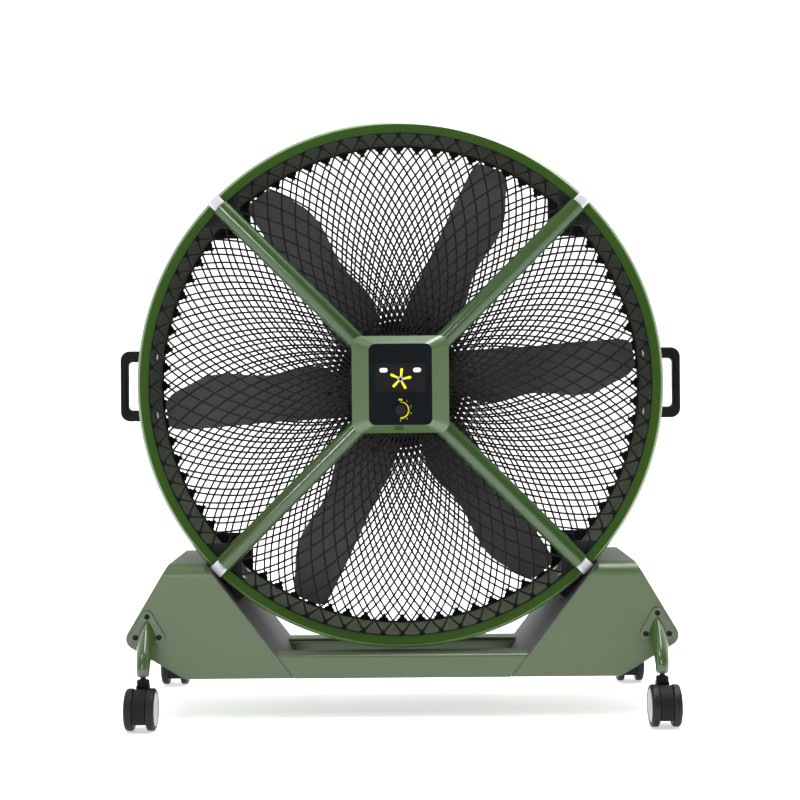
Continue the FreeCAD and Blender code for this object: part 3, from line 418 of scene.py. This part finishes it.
def web(k, y, thick, grow):
    """Small gusset with hollow sides between two crossing wires and the outer ring."""
    f0 = STEP * (k + TURN) + swing(CROSS_R)
    top = 0.4700
    side = [(0.0006, CROSS_R - 0.0068), (0.0017, CROSS_R - 0.0046), (0.0030, CROSS_R - 0.0024), (0.0042, CROSS_R - 0.0006),
            (0.0054, CROSS_R + 0.0008), (0.0068, CROSS_R + 0.0018), (0.0086, CROSS_R + 0.0024), (0.0090, top)]
    side = [(w * grow, top - (top - r) * grow) for w, r in side]
    line = side + [(-s, r) for s, r in reversed(side)]
    n = len(line)
    verts = []
    for dy in (-thick / 2, thick / 2):
        for s, r in line:
            a = f0 + s / r
            verts.append((r * math.cos(a), y + dy, ZC + r * math.sin(a)))
    faces = [(i, i + n, (i + 1) % n + n, (i + 1) % n) for i in range(n)]
    m = len(side)
    for i in range(m - 1):
        j, q = n - 1 - i, n - 2 - i
        faces.append((i, i + 1, q, j))
        faces.append((j + n, q + n, i + 1 + n, i + n))
    return verts, faces


def guard(name, y_a, y_b, r_in, ring_in, ring_out, ring_tube, grow, *stand_for):
    parts = []
    for k in range(WIRES):
        parts.append(wire(k, 1, y_a, r_in))
        parts.append(wire(k, -1, y_b, r_in))
    ym = (y_a + y_b) / 2
    for k in range(WIRES):
        parts.append(web(k, ym, 0.0030, grow))
    parts.append(torus(ring_out, ring_tube, ym, 240, 14))
    parts.append(torus(r_in, ring_in, ym, 120, 14))
    v, f = joined(*parts)
    o = sharpen(make(name, v, f, WIRE), 50)
    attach(o, "frame")
    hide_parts(*stand_for)
    return o


ga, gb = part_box("front_guard_wires_a"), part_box("front_guard_wires_b")
guard("front_guard", (ga[0].y + ga[1].y) / 2, (gb[0].y + gb[1].y) / 2, 0.0860, 0.0031, 0.4698, 0.0031, 1.0, "front_guard_wires_a", "front_guard_wires_b")
ga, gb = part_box("rear_guard_wires_a"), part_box("rear_guard_wires_b")
guard("rear_guard", (ga[0].y + ga[1].y) / 2, (gb[0].y + gb[1].y) / 2, 0.1165, 0.0031, 0.4721, 0.0020, 1.12, "rear_guard_wires_a", "rear_guard_wires_b")

# ------------------------------------------------------------------ drum: green outside, dark inside
R0, R1, Y0, Y1 = 0.4745, 0.4760, -0.1145, 0.1172
outer = [(Y0, R0), (Y0, R1)] + [(Y0 + (Y1 - Y0) * i / 8, R1) for i in range(1, 9)] + [(Y1, R0)]
outer += [(Y1 - (Y1 - Y0) * i / 8, R0) for i in range(1, 8)]
v, f = lathe(outer, (0, 1, 0), (0, 0, ZC), 288, True)
kk = len(outer)
idx = []
for i in range(288):
    for q in range(kk):
        a, b = outer[q], outer[(q + 1) % kk]
        idx.append(1 if (a[1] < (R0 + R1) / 2 and b[1] < (R0 + R1) / 2) else 0)
drum = make("drum", v, f, [GREEN, INSIDE], idx)
sharpen(drum)
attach(drum, "frame")
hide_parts("drum_shell")

ring = []
for a in [-195 + 13 * i for i in range(16)] + [69]:
    a = math.radians(a)
    ring.append((-0.122 - 0.01035 * math.sin(a), 0.47665 + 0.01035 * math.cos(a)))
for _ in range(2):
    soft = []
    for i, (s0, r0) in enumerate(ring):
        s1, r1 = ring[(i + 1) % len(ring)]
        soft += [(0.75 * s0 + 0.25 * s1, 0.75 * r0 + 0.25 * r1), (0.25 * s0 + 0.75 * s1, 0.25 * r0 + 0.75 * r1)]
    ring = soft
v, f = lathe(ring, (0, 1, 0), (0, 0, ZC), 320, True)
# the outer band of the front rim takes the lighter rim green, a painted highlight; the rest takes the plain rim green
painted_highlight_band = []
for q in range(len(ring)):
    (s0, r0), (s1, r1) = ring[q], ring[(q + 1) % len(ring)]
    painted_highlight_band.append(1 if (r0 + r1) / 2 > 0.4806 and (s0 + s1) / 2 < -0.1228 else 0)
o = make("rim_tube_front", v, f, [RIM_FACE, RIM_EDGE_PAINTED_HIGHLIGHT], painted_highlight_band * 320)
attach(o, "frame"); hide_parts("front_rim")
v, f = torus(0.4805, 0.0065, 0.122, 320, 28)
o = make("rim_ring_rear", v, f, GREEN_TUBE)
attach(o, "frame"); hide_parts("rear_rim")

# ------------------------------------------------------------------ caster wheels with hub caps
W0, W1, WR = 0.0117, 0.0270, 0.0375


def arc_profile(c, r, a0, a1, n):
    return [(c[0] + r * math.cos(math.radians(a0 + (a1 - a0) * i / n)), c[1] + r * math.sin(math.radians(a0 + (a1 - a0) * i / n))) for i in range(n + 1)]


tyre_prof = [(W0, 0.0042)]
tyre_prof += arc_profile((W0 + 0.0044, WR - 0.0044), 0.0044, 180, 90, 8)
tyre_prof += [(W0 + 0.0066, WR), (W0 + 0.0068, WR - 0.0004), (W0 + 0.0076, WR - 0.0004), (W0 + 0.0078, WR)]
tyre_prof += arc_profile((W1 - 0.0052, WR - 0.0052), 0.0052, 90, 0, 8)
tyre_prof += [(W1, 0.0306), (W1 - 0.0004, 0.0302), (W1 - 0.0023, 0.0302), (W1 - 0.0023, 0.0042)]
cap_prof = [(W1 - 0.00225, 0.0298), (W1 - 0.0010, 0.0299), (W1 - 0.0004, 0.0293), (W1 - 0.0003, 0.0272), (W1 - 0.0012, 0.0266),
            (W1 - 0.0012, 0.0256), (W1 - 0.0003, 0.0250), (W1 - 0.0001, 0.0200), (W1 - 0.00005, 0.0130), (W1 - 0.0008, 0.0122),
            (W1 - 0.0008, 0.0112), (W1 - 0.0001, 0.0105), (W1 - 0.00005, 0.0004)]
for c, sx, sy in (("fl", -1, -1), ("fr", 1, -1), ("rl", -1, 1), ("rr", 1, 1)):
    for side, s in (("left", -1), ("right", 1)):
        centre = (sx * 0.468, sy * 0.223, WR)
        v, f = lathe(tyre_prof, (s, 0, 0), centre, 72, True)
        o = make("wheel_%s_%s_tyre" % (c, side), v, f, TYRE)
        sharpen(o)
        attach(o, "wheel_%s_%s" % (c, side))
        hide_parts("caster_%s_wheel_%s" % (c, side))
        v, f = lathe(cap_prof, (s, 0, 0), centre, 72, False)
        k = len(cap_prof)
        f.append(tuple(i * k + k - 1 for i in range(72)))
        o = make("wheel_%s_%s_cap" % (c, side), v, f, CAP)
        sharpen(o)
        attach(o, "wheel_%s_%s" % (c, side))

# ------------------------------------------------------------------ panel print
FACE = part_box("control_fascia")[0].y
PANE_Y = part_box("display_window")[0].y


def slab(name, outline, y, thick, mat, body="frame"):
    n = len(outline)
    v = [(x, y, z) for x, z in outline] + [(x, y + thick, z) for x, z in outline]
    f = [tuple(range(n)), tuple(range(2 * n - 1, n - 1, -1))]
    f += [(i, i + n, (i + 1) % n + n, (i + 1) % n) for i in range(n)]
    o = make(name, v, f, mat, smooth=False)
    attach(o, body)
    return o


def capsule(cx, cz, length, w0, w1, deg, n=8):
    """Rounded bar starting at (cx, cz), widening from w0 to w1."""
    a = math.radians(deg)
    d, p = Vector((math.cos(a), math.sin(a))), Vector((-math.sin(a), math.cos(a)))
    pts = []
    for i in range(n + 1):
        t = math.pi / 2 + math.pi * i / n
        pts.append((cx + d.x * (w0 * math.cos(t)) + p.x * (w0 * math.sin(t)), cz + d.y * (w0 * math.cos(t)) + p.y * (w0 * math.sin(t))))
    for i in range(n + 1):
        t = -math.pi / 2 + math.pi * i / n
        pts.append((cx + d.x * (length + w1 * math.cos(t)) + p.x * (w1 * math.sin(t)), cz + d.y * (length + w1 * math.cos(t)) + p.y * (w1 * math.sin(t))))
    return pts


ICON = (0.0002, ZC + 0.0095)
for i in range(5):
    a = 80 + 72 * i
    ca, sa = math.cos(math.radians(a)), math.sin(math.radians(a))
    slab("icon_arm_%d" % i, capsule(ICON[0] + 0.0068 * ca, ICON[1] + 0.0068 * sa, 0.0106, 0.0017, 0.0024, a + 4), PANE_Y - 0.00025, 0.00025, YELLOW)
v, f = lathe([(0.0, 0.0030), (0.0, 0.0052), (0.00025, 0.0052), (0.00025, 0.0030)], (0, 1, 0), (ICON[0], PANE_Y - 0.00025, ICON[1]), 40, True)
o = make("icon_ring", v, f, PRINT_GREY, smooth=False)
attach(o, "frame")

DIAL = (0.0, ZC - 0.0462)
pts_out, pts_in = [], []
for i in range(41):
    a = math.radians(92 - 184 * i / 40)
    w = 0.0009 + 0.0011 * i / 40
    pts_out.append((DIAL[0] + (0.0142 + w) * math.cos(a), DIAL[1] + (0.0142 + w) * math.sin(a)))
    pts_in.append((DIAL[0] + (0.0142 - w * 0.6) * math.cos(a), DIAL[1] + (0.0142 - w * 0.6) * math.sin(a)))
slab("dial_scale", (pts_out + pts_in[::-1])[::-1], FACE - 0.0002, 0.0002, DIAL_YELLOW)
slab("dial_start_mark", capsule(DIAL[0] - 0.0020, DIAL[1] + 0.0186, 0.0044, 0.0016, 0.0016, 0), FACE - 0.0002, 0.0002, DIAL_YELLOW)
for i, digit in enumerate("12345"):
    a = math.radians(90 - 36 * (i + 1))
    cu = bpy.data.curves.new("dial_digit_%s" % digit, "FONT")
    cu.body = digit
    cu.size = 0.0052
    cu.align_x = "CENTER"
    cu.align_y = "CENTER"
    cu.extrude = 0.0001
    tmp = bpy.data.objects.new("dial_text_%s" % digit, cu)
    bpy.context.scene.collection.objects.link(tmp)
    tmp.matrix_world = Matrix.Translation((DIAL[0] + 0.0195 * math.cos(a), FACE - 0.0001, DIAL[1] + 0.0195 * math.sin(a))) @ Matrix.Rotation(math.pi / 2, 4, "X")
    bpy.context.view_layer.update()
    me = bpy.data.meshes.new_from_object(tmp.evaluated_get(bpy.context.evaluated_depsgraph_get()))
    me.transform(tmp.matrix_world)
    bpy.data.objects.remove(tmp)
    me.name = "dial_digit_%s" % digit
    me.materials.clear()
    me.materials.append(DIAL_YELLOW)
    o = bpy.data.objects.new("dial_digit_%s" % digit, me)
    bpy.context.scene.collection.objects.link(o)
    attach(o, "frame")

# small dark green pane in the pocket of the lower bevel: painted shade, set where the pocket is only in shade
pv = []
for z in (ZC - 0.0820, ZC - 0.0748):
    y = -0.186 - 0.019 * (z - (ZC - 0.088)) / 0.0142 + 0.0022
    pv += [(-0.0116, y - 0.0006, z), (0.0048, y - 0.0006, z), (0.0048, y - 0.0001, z), (-0.0116, y - 0.0001, z)]
o = make("pocket_painted_shade_pane", pv, [(0, 1, 5, 4), (1, 2, 6, 5), (2, 3, 7, 6), (3, 0, 4, 7), (3, 2, 1, 0), (4, 5, 6, 7)], PANE, smooth=False)
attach(o, "frame")

# ------------------------------------------------------------------ floor, light, camera
floor_mat = bpy.data.materials.new("pale_floor")
floor_mat.use_nodes = True
fn, fl = floor_mat.node_tree.nodes, floor_mat.node_tree.links
fp = fn["Principled BSDF"]
ft = fn.new("ShaderNodeTexNoise")
ft.inputs["Scale"].default_value = 1.5
fr = fn.new("ShaderNodeValToRGB")
fr.color_ramp.elements[0].color = (0.86, 0.86, 0.86, 1)
fr.color_ramp.elements[1].color = (0.90, 0.90, 0.90, 1)
fl.new(ft.outputs["Fac"], fr.inputs["Fac"])
fl.new(fr.outputs["Color"], fp.inputs["Base Color"])
fp.inputs["Roughness"].default_value = 0.7
fc = fn.new("ShaderNodeTexCoord")
fs = fn.new("ShaderNodeSeparateXYZ")
fl.new(fc.outputs["Object"], fs.inputs[0])
fg = fn.new("ShaderNodeMapRange")
fg.interpolation_type = "SMOOTHSTEP"
fg.inputs["From Min"].default_value = -1.0
fg.inputs["From Max"].default_value = 3.5
fg.inputs["To Min"].default_value = 0.55
fg.inputs["To Max"].default_value = 1.0
fl.new(fs.outputs["Y"], fg.inputs["Value"])
fl.new(fr.outputs["Color"], fp.inputs["Emission Color"])
fl.new(fg.outputs[0], fp.inputs["Emission Strength"])
prof = [(-9.0, 0.0), (4.0, 0.0)]
for i in range(1, 17):
    t = math.pi / 2 * i / 16
    prof.append((4.0 + 2.5 * math.sin(t), 2.5 - 2.5 * math.cos(t)))
prof.append((6.5, 9.0))
fv, ff = [], []
for y, z in prof:
    fv += [(-12, y, z - 0.0005), (12, y, z - 0.0005)]
for i in range(len(prof) - 1):
    ff.append((2 * i, 2 * i + 1, 2 * i + 3, 2 * i + 2))
floor = make("floor", fv, ff, floor_mat)

world = bpy.data.worlds.new("studio")
bpy.context.scene.world = world
world.use_nodes = True
wn, wl = world.node_tree.nodes, world.node_tree.links
wn["Background"].inputs[0].default_value = (1, 1, 1, 1)
wt = wn.new("ShaderNodeTexCoord")
ws = wn.new("ShaderNodeSeparateXYZ")
wl.new(wt.outputs["Generated"], ws.inputs[0])
wm = wn.new("ShaderNodeMapRange")
wm.interpolation_type = "SMOOTHSTEP"
wm.inputs["From Min"].default_value = -0.50
wm.inputs["From Max"].default_value = 0.10
wm.inputs["To Min"].default_value = 0.10
wm.inputs["To Max"].default_value = 1.5
wl.new(ws.outputs["Y"], wm.inputs["Value"])
wl.new(wm.outputs[0], wn["Background"].inputs[1])


def area(name, loc, aim, size, size_y, power):
    d = bpy.data.lights.new(name, "AREA")
    d.shape = "RECTANGLE"
    d.size, d.size_y, d.energy = size, size_y, power
    o = bpy.data.objects.new(name, d)
    bpy.context.scene.collection.objects.link(o)
    o.location = loc
    o.rotation_euler = (Vector(aim) - Vector(loc)).to_track_quat("-Z", "Y").to_euler()
    return o


area("front_soft", (-1.3, -5.6, 1.5), (0, 0, 0.55), 1.2, 0.9, 56)
area("upper_left", (-1.6, -1.9, 2.2), (0, -0.15, 0.6), 0.45, 0.45, 14)
area("top_back", (0.7, 0.55, 2.9), (0, 0.1, 0.7), 2.4, 1.6, 50)
area("top_front", (0.40, -0.50, 2.7), (0, -0.45, 0.6), 2.2, 0.8, 62)

cam_data = bpy.data.cameras.new("camera")
cam_data.sensor_width = 36.0
cam_data.lens = 71.73
cam_data.shift_x = -0.0005
cam_data.shift_y = -0.0196
cam_data.clip_end = 50
cam = bpy.data.objects.new("camera", cam_data)
bpy.context.scene.collection.objects.link(cam)
cam.location = (0.0, -3.072, 0.615)
cam.rotation_euler = (math.radians(90), math.radians(0.45), 0)
bpy.context.scene.camera = cam
bpy.context.scene.view_settings.view_transform = "Standard"

bpy.context.view_layer.update()
